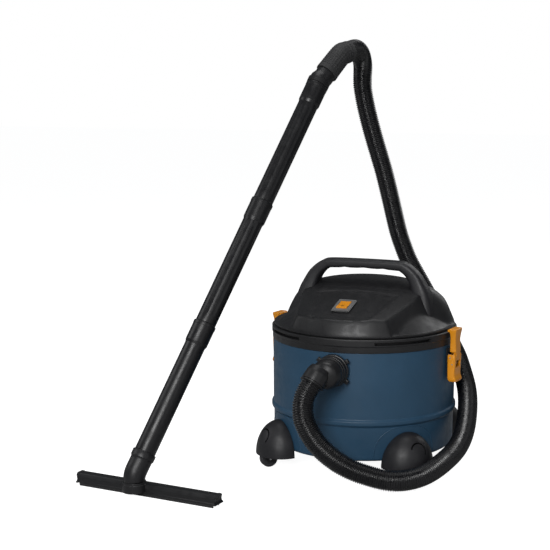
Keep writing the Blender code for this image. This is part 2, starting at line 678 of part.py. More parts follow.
def make_float(head, materials):
    """The cage that hangs below the fan hole, the ball that floats up to shut it, and the foam filter."""
    shell, ball_material, foam, ring_material = materials
    top = PLATE_Z - GAP
    low = 0.1500
    profile = [(0.0300, low), (0.0455, low), (0.0455, top), (0.0425, top), (0.0425, low + 3 * MM), (0.0300, low + 3 * MM)]
    cage = piece("float_cage", turned(profile, 24), shell, head)
    for k in range(3):
        window = block((0.120, 0.026, 0.052), (0, 0, 0.1900))
        bmesh.ops.rotate(window, verts=window.verts, matrix=Matrix.Rotation(math.radians(60 * k), 3, "Z"))
        boolean(cage, cutter(f"cut_window_{k}", window, head))
    radius = 0.0335
    steps = 8
    ball = [(radius * math.sin(math.pi * k / steps), -radius * math.cos(math.pi * k / steps)) for k in range(steps + 1)]
    ball[0] = (0, -radius)
    ball[-1] = (0, radius)
    piece("float_ball", turned(ball, 16), ball_material, head, (0, 0, 0.1705))
    sleeve = [(0.0462, 0.1560), (0.0560, 0.1560), (0.0560, 0.2340), (0.0462, 0.2340)]
    piece("foam_filter", turned(sleeve, 24), foam, head)
    ring = [(0.0566, 0.2240), (0.0590, 0.2240), (0.0590, 0.2290), (0.0566, 0.2290)]
    piece("filter_ring", turned(ring, 24), ring_material, head)


# ---------------------------------------------------------------- latches
def make_latch(body, side, angle, materials):
    """A toggle latch: its bracket and pin stay on the tub, the lever swings out and drives the claw."""
    black, yellow, steel = materials
    stand = empty(f"latch_{side}", (0, 0, 0), body)
    stand.rotation_euler = (0, 0, angle)
    across = facing((0, 1, 0))
    plate = [(0.1706, 0.1960), (0.1730, 0.1960), (0.1730, 0.2240), (0.1706, 0.2240)]
    bracket = piece(f"latch_bracket_{side}", extruded(plate, -0.0132, 0.0132, "y"), black, stand)
    ear = [(0.1715, 0.2010), (0.1825, 0.2030), (0.1835, 0.2080), (0.1820, 0.2120), (0.1790, 0.2132), (0.1715, 0.2150)]
    for k, y in enumerate((-0.0131, 0.0107)):
        boolean(bracket, cutter(f"join_ear_{side}_{k}", extruded(ear, y, y + 0.0024, "y"), stand), "UNION")
    pin_at = (LATCH_PIN[0], 0, LATCH_PIN[1])
    boolean(bracket, cutter(f"cut_ear_{side}", rod(0.0019, 0.040, 10), stand, pin_at, across))
    piece(f"latch_pin_{side}", rod(0.0016, 0.0336, 10), steel, stand, pin_at, across)

    swing = empty(f"lever_{side}_axis", pin_at, stand)
    inner, outer = 0.1745, 0.1895
    outline = [(inner, 0.2140), (outer - 2 * MM, 0.2140), (outer, 0.2120), (outer - 0.8 * MM, 0.1800),
               (outer, 0.1700), (outer + 2.2 * MM, 0.1640), (outer - 1 * MM, 0.1630), (inner + 3 * MM, 0.1630), (inner, 0.1700)]
    outline = [(r - LATCH_PIN[0], z - LATCH_PIN[1]) for r, z in outline]
    lever = piece(f"latch_lever_{side}", extruded(outline, -0.0170, 0.0170, "y"), yellow, swing)
    hollow = block((0.0165, 0.0274, 0.0500), (-0.0022, 0, 0.0000))
    boolean(lever, cutter(f"cut_lever_{side}", hollow, swing, (0, 0, -0.0080)))
    slot = block((0.0300, 0.0190, 0.0400), (0.0100, 0, 0.0020))
    boolean(lever, cutter(f"cut_lever_slot_{side}", slot, swing))
    boolean(lever, cutter(f"cut_lever_pin_{side}", rod(0.0019, 0.040, 10), swing, (0, 0, 0), across))
    claw_at = Vector((CLAW_PIN[0] - LATCH_PIN[0], 0, CLAW_PIN[1] - LATCH_PIN[1]))
    boolean(lever, cutter(f"cut_claw_pin_{side}", rod(0.0016, 0.0400, 10), swing, claw_at, across))
    piece(f"claw_pin_{side}", rod(0.0013, 0.0336, 10), steel, swing, claw_at, across)

    hook = empty(f"claw_{side}_axis", claw_at, swing)
    tongue = [(0.1825, 0.1925), (0.1880, 0.1915), (0.1893, 0.1940), (0.1893, 0.2200), (0.1825, 0.2200)]
    tongue = [(r - CLAW_PIN[0], z - CLAW_PIN[1]) for r, z in tongue]
    claw = piece(f"latch_claw_{side}", extruded(tongue, -0.0090, 0.0090, "y"), yellow, hook)
    head = [(0.1775, 0.2190), (0.1895, 0.2190), (0.1880, 0.2400), (0.1900, 0.2580), (0.1885, 0.2600), (0.1745, 0.2600),
            (0.1728, 0.2585), (0.1728, 0.2545), (0.1775, 0.2530)]
    head = [(r - CLAW_PIN[0], z - CLAW_PIN[1]) for r, z in head]
    boolean(claw, cutter(f"join_claw_{side}", extruded(head, -0.0165, 0.0165, "y"), hook), "UNION")
    boolean(claw, cutter(f"cut_claw_{side}", rod(0.0016, 0.0400, 10), hook, (0, 0, 0), across))


# ---------------------------------------------------------------- the whole object
def main():
    clear_scene()
    black = plastic("black_plastic", BLACK, 0.45)
    handle_grey = plastic("handle_plastic", DARK_GREY, 0.5)
    blue = plastic("blue_plastic", BLUE, 0.4)
    yellow = plastic("yellow_plastic", YELLOW, 0.4)
    grey = plastic("grey_plastic", GREY, 0.5)
    rubber = plastic("rubber", BLACK, 0.8)
    hose_plastic = plastic("hose_plastic", BLACK, 0.35)
    foam = plastic("foam", FOAM, 0.95)
    steel = plastic("steel", STEEL, 0.3, 1.0)
    copper = plastic("copper", COPPER, 0.4, 1.0)
    aluminium = plastic("aluminium", ALUMINIUM, 0.35, 1.0)
    white = plastic("white_plastic", WHITE, 0.5)

    body = empty("tub_axis", TUB_AXIS)
    make_tub(body, blue)
    make_inlet(body, black)
    make_elbow(body, black, black)
    make_hose(body, hose_plastic)
    make_grip(body, black, rubber)
    make_wand(body, black)
    make_wand_elbow(body, black)
    make_nozzle(body, black, rubber)
    for side, angle in (("front_left", -45), ("front_right", 45), ("rear_right", 135), ("rear_left", -135)):
        make_caster(body, side, angle, (handle_grey, black, rubber, steel))
    for side, angle in (("right", LATCH_TURN), ("left", LATCH_TURN + math.pi)):
        make_latch(body, side, angle, (black, yellow, steel))

    head = empty("head", (0, 0, 0), body)
    make_gasket(head, rubber)
    make_head(head, (black, handle_grey, grey, yellow, steel))
    make_motor(head, (black, steel, copper, aluminium))
    make_float(head, (black, white, foam, rubber))
    bpy.context.view_layer.update()


main()
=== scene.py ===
"""Looks of the shop vacuum: detailed pieces, materials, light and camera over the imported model.

Shapes are placed about the tub's upright centre line, which stands at AXIS. Sizes are in metres.
"""

import json
import math

import bmesh
import bpy
from mathutils import Matrix, Vector

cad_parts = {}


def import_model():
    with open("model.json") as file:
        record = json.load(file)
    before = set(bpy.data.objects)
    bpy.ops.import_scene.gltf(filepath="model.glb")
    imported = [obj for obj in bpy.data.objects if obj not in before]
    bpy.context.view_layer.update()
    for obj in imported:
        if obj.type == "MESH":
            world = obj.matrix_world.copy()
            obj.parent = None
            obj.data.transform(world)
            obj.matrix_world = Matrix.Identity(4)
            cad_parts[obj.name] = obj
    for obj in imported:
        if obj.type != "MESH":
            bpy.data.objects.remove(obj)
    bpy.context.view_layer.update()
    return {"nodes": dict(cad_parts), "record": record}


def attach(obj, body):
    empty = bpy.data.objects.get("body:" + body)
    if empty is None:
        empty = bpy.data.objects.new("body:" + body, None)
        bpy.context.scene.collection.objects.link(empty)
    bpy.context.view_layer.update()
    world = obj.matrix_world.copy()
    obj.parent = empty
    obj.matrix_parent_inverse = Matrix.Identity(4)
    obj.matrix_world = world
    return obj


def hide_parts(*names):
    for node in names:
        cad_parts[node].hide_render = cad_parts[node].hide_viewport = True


AXIS = Vector((0.1084, 0.1008, 0.0))
FORWARD = Vector((0, -1, 0))

TUB_R = 0.170
TUB_BASE_Z = 0.034
TUB_TOP_Z = 0.2295
BEAD_Z = 0.104
INLET_Z = 0.199
INLET_Y = -0.1722
HOSE_R = 0.0185
HOSE_RIB_PITCH = 0.0036
HOSE_RIB_DEPTHS = (0.0, 0.0006, 0.0019, 0.0019, 0.0006)

COVER_R = 0.168
COVER_Z = 0.2543
DOME_H = 0.086
SWITCH_X, SWITCH_Y = -0.006, -0.101
PANEL_SLOPE = 0.27
PANEL_DISH = 0.0013
SLOT_MIDDLES = (-43, 43, 137, 223)
SLOT_HALF_ANGLE = 18.4

CASTER_R = 0.187
CASTER_TRAIL = 0.008
WHEEL_R = 0.016
FOOT_R = 0.172
FOOT_BOTTOM_Z = 0.024
FEET = {"front_left": -45, "front_right": 45, "rear_right": 135, "rear_left": -135}

LATCH_TURN = math.radians(-8)

WAND_FOOT = Vector((-0.287, -0.368, 0.036))
WAND_TOP = Vector((-0.101, 0.015, 0.686))
WAND_R = 0.0182
SOCKET_R = 0.0203
ELBOW_LIP = 0.042
NOZZLE_MIDDLE = Vector((-0.267, -0.359, 0.0))
NOZZLE_TURN = math.radians(-6.5)
NOZZLE_LENGTH = 0.283
GRIP_BEND = Vector((-0.090, 0.033, 0.708))

# The hose's centre line, from the inlet elbow round the right side and up to the grip.
HOSE_ROUTE = (
    (-0.0165, -0.2375, 0.1865),
    (-0.0245, -0.2505, 0.1640),
    (-0.0230, -0.2550, 0.1270),
    (0.0000, -0.2460, 0.0820),
    (0.0380, -0.2300, 0.0470),
    (0.0800, -0.2200, 0.0300),
    (0.1190, -0.2110, 0.0225),
    (0.1510, -0.1900, 0.0230),
    (0.1750, -0.1610, 0.0300),
    (0.1930, -0.1210, 0.0420),
    (0.2020, -0.0770, 0.0530),
    (0.2040, -0.0370, 0.0690),
    (0.2000, 0.0020, 0.0880),
    (0.1920, 0.0410, 0.1100),
    (0.1795, 0.0800, 0.1290),
    (0.1635, 0.1090, 0.1530),
    (0.1460, 0.1370, 0.1760),
    (0.1260, 0.1550, 0.2010),
    (0.1010, 0.1740, 0.2360),
    (0.0760, 0.1870, 0.2730),
    (0.0570, 0.1950, 0.3010),
    (0.0380, 0.1990, 0.3300),
    (0.0250, 0.1990, 0.3530),
    (0.0140, 0.1990, 0.3790),
    (0.0040, 0.1970, 0.4090),
    (-0.0070, 0.1920, 0.4570),
    (-0.0231, 0.1860, 0.5234),
    (-0.0432, 0.1815, 0.5892),
    (-0.0587, 0.1796, 0.6449),
    (-0.0660, 0.1752, 0.6899),
    (-0.0620, 0.1640, 0.7250),
    (-0.0600, 0.1430, 0.7470),
    (-0.0610, 0.1150, 0.7550),
    (-0.0664, 0.0870, 0.7493),
)


# ---------------------------------------------------------------- materials
def link(tree, source, target):
    tree.links.new(source, target)


def moulded(name, colour, roughness=0.45, grain=1400, grain_depth=0.00004, mottle=0.10, scuff=0.10,
            metallic=0.0, coat=0.0, specular=0.5):
    """Moulded plastic, rubber or metal: a fine bumpy grain, faint blotches in the colour and uneven gloss."""
    material = bpy.data.materials.new(name)
    material.use_nodes = True
    tree = material.node_tree
    nodes = tree.nodes
    shader = nodes["Principled BSDF"]
    shader.inputs["Metallic"].default_value = metallic
    shader.inputs["Coat Weight"].default_value = coat
    shader.inputs["Coat Roughness"].default_value = 0.25
    shader.inputs["Specular IOR Level"].default_value = specular
    place = nodes.new("ShaderNodeTexCoord")

    blotches = nodes.new("ShaderNodeTexNoise")
    blotches.inputs["Scale"].default_value = 18
    blotches.inputs["Detail"].default_value = 5
    tint = nodes.new("ShaderNodeValToRGB")
    tint.color_ramp.elements[0].position = 0.3
    tint.color_ramp.elements[1].position = 0.7
    tint.color_ramp.elements[0].color = (*(c * (1 - mottle) for c in colour), 1)
    tint.color_ramp.elements[1].color = (*(min(1, c * (1 + mottle)) for c in colour), 1)
    link(tree, place.outputs["Object"], blotches.inputs["Vector"])
    link(tree, blotches.outputs["Fac"], tint.inputs["Fac"])
    link(tree, tint.outputs["Color"], shader.inputs["Base Color"])

    wear = nodes.new("ShaderNodeTexNoise")
    wear.inputs["Scale"].default_value = 70
    wear.inputs["Detail"].default_value = 8
    wear.inputs["Roughness"].default_value = 0.65
    gloss = nodes.new("ShaderNodeMapRange")
    gloss.inputs["From Min"].default_value = 0.3
    gloss.inputs["From Max"].default_value = 0.7
    gloss.inputs["To Min"].default_value = max(0.05, roughness - scuff)
    gloss.inputs["To Max"].default_value = min(1.0, roughness + scuff)
    link(tree, place.outputs["Object"], wear.inputs["Vector"])
    link(tree, wear.outputs["Fac"], gloss.inputs["Value"])
    link(tree, gloss.outputs["Result"], shader.inputs["Roughness"])

    texture = nodes.new("ShaderNodeTexNoise")
    texture.inputs["Scale"].default_value = grain
    texture.inputs["Detail"].default_value = 2
    bump = nodes.new("ShaderNodeBump")
    bump.inputs["Strength"].default_value = 0.6
    bump.inputs["Distance"].default_value = grain_depth
    link(tree, place.outputs["Object"], texture.inputs["Vector"])
    link(tree, texture.outputs["Fac"], bump.inputs["Height"])
    link(tree, bump.outputs["Normal"], shader.inputs["Normal"])
    return material


def sponge(name, colour):
    """Open-cell foam: dark round pores in a soft matt surface."""
    material = moulded(name, colour, roughness=0.95, grain=500, grain_depth=0.0004, specular=0.1)
    tree = material.node_tree
    pores = tree.nodes.new("ShaderNodeTexVoronoi")
    pores.inputs["Scale"].default_value = 420
    bump = tree.nodes["Bump"]
    bump.inputs["Strength"].default_value = 1.0
    place = tree.nodes["Texture Coordinate"]
    link(tree, place.outputs["Object"], pores.inputs["Vector"])
    link(tree, pores.outputs["Distance"], bump.inputs["Height"])
    return material


# ---------------------------------------------------------------- shapes
def turned(profile, segments=96, radius_at=None):
    """Turns an outline of (radius, z) points about Z. radius_at can change a radius along the turn."""
    bm = bmesh.new()
    rings = []
    for index, (radius, z) in enumerate(profile):
        if radius == 0:
            rings.append([bm.verts.new((0, 0, z))])
            continue
        ring = []
        for k in range(segments):
            a = 2 * math.pi * k / segments
            r = radius_at(index, radius, z, a) if radius_at else radius
            ring.append(bm.verts.new((r * math.sin(a), -r * math.cos(a), z)))
        rings.append(ring)
    for lower, upper in zip(rings, rings[1:] + rings[:1]):
        for i in range(segments):
            j = (i + 1) % segments
            ends = [lower[i % len(lower)], lower[j % len(lower)],
                    upper[j % len(upper)], upper[i % len(upper)]]
            corners = list(dict.fromkeys(ends))
            if len(corners) > 2:
                bm.faces.new(corners)
    return bm


def rounded(outline, steps=4):
    """A closed outline of (u, v, radius) points with each corner rounded to its radius."""
    points = []
    count = len(outline)
    for i, (u, v, radius) in enumerate(outline):
        corner = Vector((u, v))
        if radius == 0:
            points.append((u, v))
            continue
        before = Vector(outline[i - 1][:2]) - corner
        after = Vector(outline[(i + 1) % count][:2]) - corner
        back, ahead = before.normalized(), after.normalized()
        half = back.angle(ahead) / 2
        reach = min(radius / math.tan(half), before.length * 0.49, after.length * 0.49)
        start, end = corner + back * reach, corner + ahead * reach
        for k in range(steps + 1):
            t = k / steps
            point = start * (1 - t) ** 2 + corner * (2 * t * (1 - t)) + end * t ** 2
            points.append((point.x, point.y))
    return points


def join_loops(bm, loops, closed=False, capped=True):
    pairs = list(zip(loops, loops[1:]))
    if closed:
        pairs.append((loops[-1], loops[0]))
    count = len(loops[0])
    for one, other in pairs:
        for i in range(count):
            j = (i + 1) % count
            bm.faces.new((one[i], one[j], other[j], other[i]))
    if capped and not closed:
        bm.faces.new(loops[0])
        bm.faces.new(loops[-1])


def lofted(sections):
    bm = bmesh.new()
    join_loops(bm, [[bm.verts.new(point) for point in section] for section in sections])
    return bm


def smooth_path(points, steps):
    """A Catmull-Rom curve through the points, with steps between each pair."""
    held = [2 * points[0] - points[1], *points, 2 * points[-1] - points[-2]]
    path = []
    for a, b, c, d in zip(held, held[1:], held[2:], held[3:]):
        for k in range(steps):
            t = k / steps
            path.append(0.5 * (2 * b + (c - a) * t + (2 * a - 5 * b + 4 * c - d) * t * t
                               + (3 * b - a - 3 * c + d) * t ** 3))
    return path + [points[-1]]


def evenly(path, pitch):
    """The path again, with its points close to one pitch apart."""
    lengths = [0.0]
    for one, other in zip(path, path[1:]):
        lengths.append(lengths[-1] + (other - one).length)
    count = max(2, round(lengths[-1] / pitch))
    points, index = [], 0
    for k in range(count + 1):
        at = lengths[-1] * k / count
        while index < len(path) - 2 and lengths[index + 1] < at:
            index += 1
        t = (at - lengths[index]) / (lengths[index + 1] - lengths[index])
        points.append(path[index].lerp(path[index + 1], t))
    return points


def frames_along(points):
    tangents = []
    for i, _ in enumerate(points):
        ahead = points[min(i + 1, len(points) - 1)]
        behind = points[max(i - 1, 0)]
        tangents.append((ahead - behind).normalized())
    side = tangents[0].orthogonal().normalized()
    frames = []
    for tangent in tangents:
        side = (side - tangent * side.dot(tangent)).normalized()
        frames.append((side, tangent.cross(side)))
    return frames


def pipe(points, outer, inner=None, segments=40):
    """A pipe along a path. outer holds a radius for each point, or a function of the point and the turn."""
    bm = bmesh.new()
    frames = frames_along(points)

    def ring(index, radius):
        side, up = frames[index]
        loop = []
        for k in range(segments):
            t = 2 * math.pi * k / segments
            r = radius(index, t) if callable(radius) else radius[index]
            loop.append(bm.verts.new(points[index] + r * (side * math.cos(t) + up * math.sin(t))))
        return loop

    loops = [ring(i, outer) for i in range(len(points))]
    if inner is not None:
        loops += [ring(i, [inner] * len(points)) for i in reversed(range(len(points)))]
    join_loops(bm, loops, closed=inner is not None)
    return bm


def block(size, centre=(0, 0, 0), bevel=0.0):
    bm = bmesh.new()
    bmesh.ops.create_cube(bm, size=1.0)
    bmesh.ops.scale(bm, vec=size, verts=bm.verts)
    bmesh.ops.translate(bm, vec=centre, verts=bm.verts)
    if bevel:
        bmesh.ops.bevel(bm, geom=bm.edges, offset=bevel, segments=3, affect="EDGES", profile=0.5)
    return bm


def facing(direction):
    return Vector((0, 0, 1)).rotation_difference(Vector(direction)).to_matrix().to_4x4()


def at(place, turn=None):
    """The placing of a shape whose origin is at a point about the tub's centre line."""
    matrix = Matrix.Translation(Vector(place) + AXIS)
    return matrix @ turn if turn is not None else matrix


def spin(degrees):
    return Matrix.Rotation(math.radians(degrees), 4, "Z")


def gathered(*parts):
    """One bmesh of several, each given with its own matrix."""
    whole = bmesh.new()
    for bm, matrix in parts:
        bm.transform(matrix)
        mesh = bpy.data.meshes.new("part")
        bm.to_mesh(mesh)
        bm.free()
        whole.from_mesh(mesh)
        bpy.data.meshes.remove(mesh)
    return whole


def bare(name, bm, matrix=None, sharp=38):
    bm.transform(matrix or at((0, 0, 0)))
    bmesh.ops.recalc_face_normals(bm, faces=bm.faces)
    mesh = bpy.data.meshes.new(name)
    bm.to_mesh(mesh)
    bm.free()
    mesh.shade_smooth()
    mesh.set_sharp_from_angle(angle=math.radians(sharp))
    obj = bpy.data.objects.new(name, mesh)
    bpy.context.collection.objects.link(obj)
    return obj


def carve(obj, bm, matrix, operation="DIFFERENCE", sharp=38):
    """Cuts the shape from obj, or joins it on, and keeps the result as obj's own mesh."""
    tool = bare("tool", bm, matrix)
    modifier = obj.modifiers.new("carve", "BOOLEAN")
    modifier.operation = operation
    modifier.object = tool
    modifier.solver = "EXACT"
    bpy.context.view_layer.update()
    result = bpy.data.meshes.new_from_object(obj.evaluated_get(bpy.context.evaluated_depsgraph_get()))
    obj.modifiers.clear()
    obj.data = result
    result.shade_smooth()
    result.set_sharp_from_angle(angle=math.radians(sharp))
    bpy.data.objects.remove(tool, do_unlink=True)
    return obj


def eased(obj, width=0.0004, segments=2, angle=35):
    """Rounds the sharp edges a little, as moulding does."""
    modifier = obj.modifiers.new("eased", "BEVEL")
    modifier.width = width
    modifier.segments = segments
    modifier.limit_method = "ANGLE"
    modifier.angle_limit = math.radians(angle)
    modifier.harden_normals = True
    return obj


def dress(obj, material, body, slot, *nodes):
    """Gives a finished shape its material and its body, and hides the CAD nodes that it stands for. The slot
    argument is not used.
    """
    obj.data.materials.clear()
    obj.data.materials.append(material)
    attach(obj, body)
    if nodes:
        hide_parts(*nodes)


# ---------------------------------------------------------------- tub
def make_tub(blue):
    """The shell with its bead, the flat pad of the inlet, and a raised arch over each foot."""
    floor = TUB_BASE_Z + 0.0035
    outline = [(0.1515, TUB_BASE_Z, 0.0), (0.1690, TUB_BASE_Z, 0.016), (0.1690, BEAD_Z - 0.0075, 0.003),
               (0.1733, BEAD_Z - 0.0030, 0.0025), (0.1733, BEAD_Z + 0.0030, 0.0025),
               (0.1700, BEAD_Z + 0.0065, 0.003), (0.1700, TUB_TOP_Z, 0.0008), (0.1642, TUB_TOP_Z, 0.0008),
               (0.1642, TUB_TOP_Z - 0.006, 0.002), (0.1668, TUB_TOP_Z - 0.010, 0.002), (0.1662, floor, 0.014),
               (0.0, floor, 0.0), (0.0, TUB_BASE_Z, 0.0)]
    shell = turned(rounded(outline, 6), 200)
    pad = turned(rounded([(0, -0.010, 0), (0.0295, -0.010, 0), (0.0288, 0.0, 0.0015), (0, 0.0, 0)]), 64)
    parts = [(shell, Matrix.Identity(4)), (pad, Matrix.Translation((0, INLET_Y, INLET_Z)) @ facing(FORWARD))]
    for middle in (-45, 45, 135, 225):
        parts.append((foot_arch(middle), Matrix.Identity(4)))
    tub = bare("tub_shell", gathered(*parts))
    dress(tub, blue, "root", "tub_blue", "tub")


def foot_arch(middle, half_width=0.062, rise=0.058):
    """A low raised line on the tub's wall, arched over a foot."""
    points = []
    for k in range(33):
        t = math.pi * k / 32
        across = half_width * math.cos(t)
        z = 0.040 + rise * math.sin(t) ** 0.8
        a = math.radians(middle) + across / TUB_R
        points.append(Vector((0.1686 * math.sin(a), -0.1686 * math.cos(a), min(z, BEAD_Z - 0.009))))
    return pipe(points, [0.0013] * len(points), segments=10)


# ---------------------------------------------------------------- inlet and hose
def make_inlet(black):
    """The flange on the tub's pad, with four lugs and their screws."""
    flange = rounded([(0.0188, -0.014, 0), (0.0228, -0.014, 0.0006), (0.0228, 0.0003, 0),
                      (0.0288, 0.0003, 0.0005), (0.0288, 0.0070, 0.0010), (0.0270, 0.0075, 0.0005),
                      (0.0264, 0.0110, 0.0008), (0.0188, 0.0110, 0)])
    parts = [(turned(flange, 72), Matrix.Identity(4))]
    for angle in (35, 145, 215, 325):
        lug = block((0.0120, 0.0084, 0.0058), (0.0286, 0, 0.0036), 0.0014)
        parts.append((lug, spin(angle)))
        head = [(0, 0.0066, 0), (0.0020, 0.0066, 0.0004), (0.0020, 0.0050, 0), (0, 0.0050, 0)]
        screw = turned(rounded(head), 16)
        parts.append((screw, spin(angle) @ Matrix.Translation((0.0308, 0, 0))))
    port = bare("inlet_flange", gathered(*parts), at((0, INLET_Y, INLET_Z), facing(FORWARD)))
    dress(port, black, "root", "black_plastic", "inlet_port")


def make_elbow(black, hose):
    """The drum on the port with its stepped rings, and the outlet that turns down to the hose."""
    end = hose[0]
    leaving = (hose[1] - end).normalized()
    rings = [(0, 0.0003, 0), (0.0277, 0.0003, 0.0008), (0.0277, 0.0062, 0.0012), (0.0262, 0.0070, 0.0004),
             (0.0262, 0.0090, 0.0004), (0.0272, 0.0098, 0.0008), (0.0272, 0.0142, 0.0010),
             (0.0258, 0.0152, 0.0004), (0.0262, 0.0176, 0.0004), (0.0266, 0.0240, 0.0040),
             (0.0225, 0.0375, 0.0120), (0.0110, 0.0440, 0.0060), (0, 0.0446, 0)]
    drum = turned(rounded(rings, 6), 88)
    elbow = bare("elbow_body", drum, at((0, INLET_Y - 0.0113, INLET_Z), facing(FORWARD)))
    reach = 0.031
    mouth = reach - 0.0024
    outlet = rounded([(0, 0, 0), (0.0175, 0, 0), (0.0205, 0.010, 0.004), (0.0212, reach - 0.0045, 0.0005),
                      (0.0196, reach - 0.0038, 0.0003), (0.0196, mouth, 0), (0, mouth, 0)], 5)
    carve(elbow, turned(outlet, 72), at(end - leaving * reach, facing(leaving)), "UNION", 30)
    dress(elbow, black, "root", "black_plastic", "hose_elbow")
    ring = rounded([(0.0172, -0.0020, 0), (0.0222, -0.0020, 0.0007), (0.0222, -0.0003, 0.0007),
                    (0.0172, -0.0003, 0)], 3)
    collar = bare("elbow_collar", turned(ring, 72), at(end, facing(leaving)))
    dress(collar, black, "root", "black_plastic", "elbow_ring")


def hose_line():
    """The CAD tube's own centre line."""
    return smooth_path([Vector(p) for p in HOSE_ROUTE], 2)


def make_hose(gloss, hose):
    """The corrugated hose: a rounded rib at each pitch, and a moulding seam that runs the whole length."""
    steps = len(HOSE_RIB_DEPTHS)
    points = evenly(smooth_path(hose, 6), HOSE_RIB_PITCH / steps)
    seam_turn = math.radians(58)

    def radius(index, turn):
        base = HOSE_R - HOSE_RIB_DEPTHS[index % steps]
        off = abs((turn - seam_turn + math.pi) % (2 * math.pi) - math.pi)
        return max(base, HOSE_R - 0.0001) if off < 0.09 else base

    bm = pipe(points, radius, segments=36)
    hose_piece = bare("ribbed_hose", bm, sharp=180)
    dress(hose_piece, gloss, "root", "hose_black", "suction_hose")


# ---------------------------------------------------------------- wand and nozzle
def wand_direction():
    return (WAND_TOP - WAND_FOOT).normalized()


def make_wand(gloss):
    """Three push-fit tubes, the upper two with long shallow flutes between plain ends."""
    up = wand_direction()
    turn = facing(up)
    pitch = ((WAND_TOP - WAND_FOOT).length - ELBOW_LIP) / 3
    for k, part in enumerate(("lower", "middle", "upper")):
        foot = WAND_FOOT + up * (ELBOW_LIP + 0.0003 + pitch * k)
        length = pitch - 0.0006
        socket = SOCKET_R - 0.0004
        outline = rounded([(0.0164, 0, 0.0003), (WAND_R, 0, 0.0005), (WAND_R, 0.012, 0), (WAND_R, 0.018, 0),
                           (WAND_R, length - 0.058, 0), (WAND_R, length - 0.052, 0),
                           (WAND_R, length - 0.042, 0.002), (socket, length - 0.037, 0.002),
                           (socket, length - 0.0065, 0.0004), (SOCKET_R, length - 0.0058, 0.0004),
                           (SOCKET_R, length, 0.0010), (0.0164, length, 0.0003)], 4)

        def fluted(index, radius, z, angle, last=length, smooth=part == "lower"):
            if smooth or radius < WAND_R - 0.0001 or not 0.016 < z < last - 0.050:
                return radius
            wave = math.cos(angle * 8)
            return radius - 0.00075 * max(0.0, wave) ** 0.7

        tube = bare(f"tube_{part}", turned(outline, 128, fluted), at(foot, turn), sharp=24)
        dress(tube, gloss, "root", "tube_black", f"wand_{part}")


def make_wand_elbow(black):
    """The bend between the nozzle's collar and the lowest tube, with a thicker lip at its top."""
    up = wand_direction()
    lip = WAND_FOOT + up * ELBOW_LIP
    x, y = WAND_FOOT.xy
    bend = smooth_path([Vector((x, y, 0.0270)), Vector((x, y, 0.0310)), WAND_FOOT + up * 0.006,
                        lip - up * 0.016], 6)
    lower = [Vector((x, y, 0.0122)), Vector((x, y, 0.0262))]
    upper = [lip - up * 0.0130, lip - up * 0.0115, lip - up * 0.0110, lip - up * 0.0008, lip]
    points = lower + bend + upper
    radii = [0.0151, 0.0151] + [0.0180 + 0.0008 * min(1, k / 12) for k in range(len(bend))]
    radii += [0.0190, 0.0198, 0.0205, 0.0205, 0.0199]
    elbow = bare("nozzle_elbow", pipe(points, radii, 0.0132, 48))
    dress(elbow, black, "root", "black_plastic", "wand_elbow")


def make_grip(black, rubber, hose):
    """The bent tube, and the thick cuff with rings of small ribs that the hose screws into."""
    up = wand_direction()
    arriving = (hose[-1] - hose[-2]).normalized()
    finish = hose[-1] + arriving * 0.0003
    start = WAND_TOP + up * 0.0003
    toward = (GRIP_BEND - start).normalized()
    line = [start, start + up * 0.0008, start + up * 0.009, start + up * 0.0105, *smooth_path(
        [start + up * 0.0125, start.lerp(GRIP_BEND, 0.6), GRIP_BEND - toward * 0.0006], 5)]
    radii = [0.0200, 0.0207, 0.0207, 0.0190] + [0.0186] * (len(line) - 4)
    tube = bare("grip_bend", pipe(line, radii, 0.0160, 56))
    dress(tube, black, "root", "black_plastic", "grip_tube")

    route = smooth_path([GRIP_BEND, GRIP_BEND + toward * 0.008, GRIP_BEND + toward * 0.020,
                         finish + arriving * 0.026, finish + arriving * 0.010, finish], 10)
    route = evenly(route, 0.0011)
    count = len(route)

    def radius(index, turn):
        along = index / (count - 1)
        base = 0.0212 - 0.0011 * along
        if index in (0, count - 1):
            return base - 0.0009
        plain = along < 0.10 or along > 0.88
        knurl = 0.0 if plain else 0.0008 * (index % 4 in (0, 1)) + 0.0004 * (math.sin(turn * 24) > 0)
        return base - knurl

    cuff = bare("grip_sleeve", pipe(route, radius, 0.0160, 96), sharp=30)
    dress(cuff, rubber, "root", "black_rubber", "grip_cuff")


